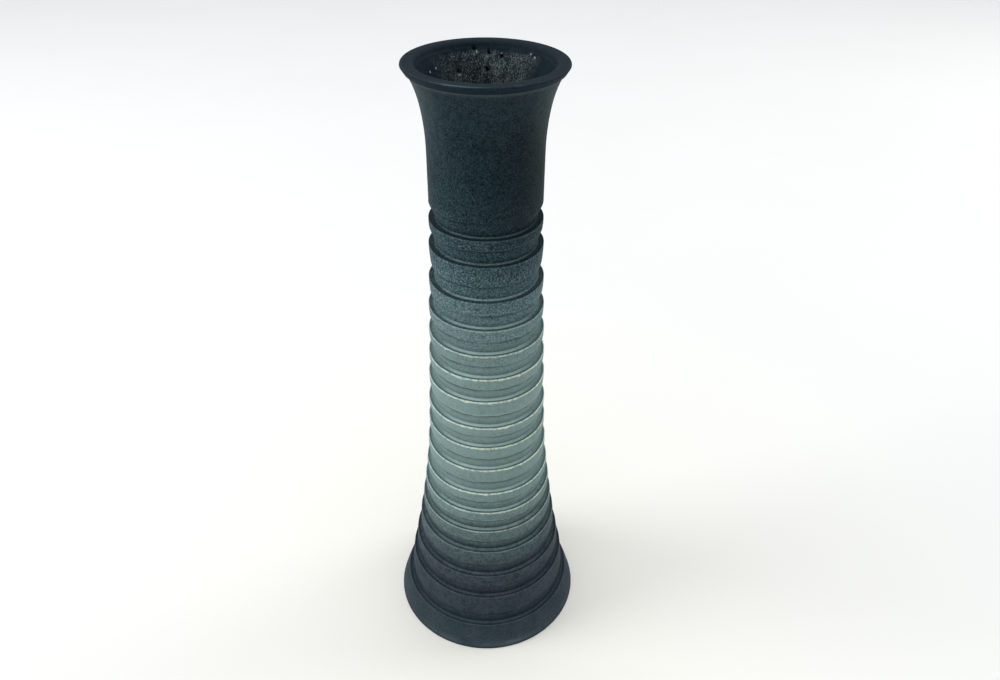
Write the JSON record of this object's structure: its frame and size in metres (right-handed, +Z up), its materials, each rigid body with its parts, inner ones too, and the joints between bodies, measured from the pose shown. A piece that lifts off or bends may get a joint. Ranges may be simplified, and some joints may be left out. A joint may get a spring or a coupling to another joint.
{
  "type": "bud vase",
  "caption": "Tall slim bud vase with a flared mouth, a body cut with uneven stepped rings and a wide foot.",
  "frame": {"origin": "centre of the circle that the foot stands on", "axes": "+Z up along the vase's axis, from the foot to the mouth; X and Y are free, as the vase is round"},
  "size_m": [0.0824, 0.0824, 0.25],
  "materials": {
    "painted_wood": "matte thin paint, near-black at both ends fading to sage grey in the middle, rubbed through to cream on the ring edges"
  },
  "bodies": {
    "root": {"vase_body": "painted_wood"}
  },
  "joints": []
}
